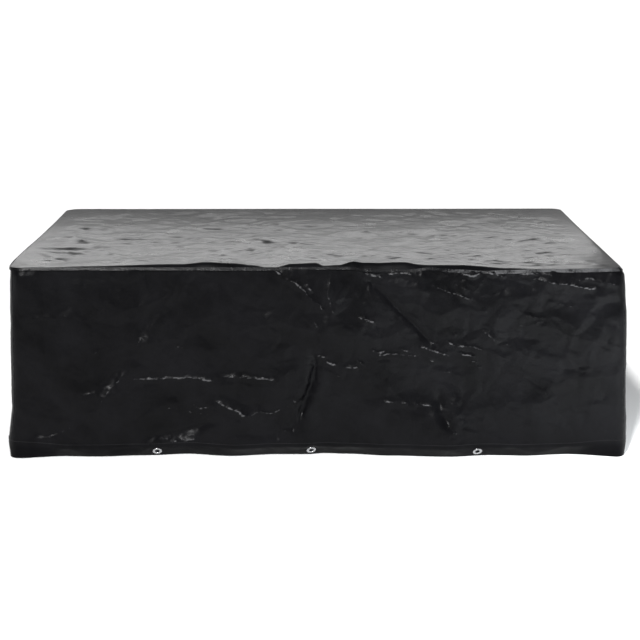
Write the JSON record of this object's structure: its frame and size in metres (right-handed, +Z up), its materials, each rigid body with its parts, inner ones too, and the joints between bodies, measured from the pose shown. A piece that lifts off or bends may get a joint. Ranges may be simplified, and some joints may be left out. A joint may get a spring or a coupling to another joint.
{
  "type": "patio furniture cover",
  "caption": "Box-shaped fitted tarpaulin cover with sewn top and skirt panels, draped and creased, open below, with metal eyelets along the hem.",
  "frame": {"origin": "on the floor, under the middle of the whole cover's outline", "axes": "+Z up; +X along the long side, to the right as seen from the front; the front faces -Y"},
  "size_m": [2.2088, 1.4282, 0.6837],
  "materials": {
    "tarpaulin": "black coated woven polyethylene, semi-gloss, finely creased",
    "hem": "the same cloth, turned up double and stitched",
    "eyelet": "pressed and bright"
  },
  "bodies": {
    "root": {"panel_top": "tarpaulin", "panel_front": "tarpaulin", "panel_right": "tarpaulin", "panel_back": "tarpaulin", "panel_left": "tarpaulin", "hem_front": "hem", "hem_right": "hem", "hem_back": "hem", "hem_left": "hem", "eyelet_front_1": "eyelet", "eyelet_front_2": "eyelet", "eyelet_front_3": "eyelet", "eyelet_right_1": "eyelet", "eyelet_right_2": "eyelet", "eyelet_back_1": "eyelet", "eyelet_back_2": "eyelet", "eyelet_back_3": "eyelet", "eyelet_left_1": "eyelet", "eyelet_left_2": "eyelet"}
  },
  "joints": []
}
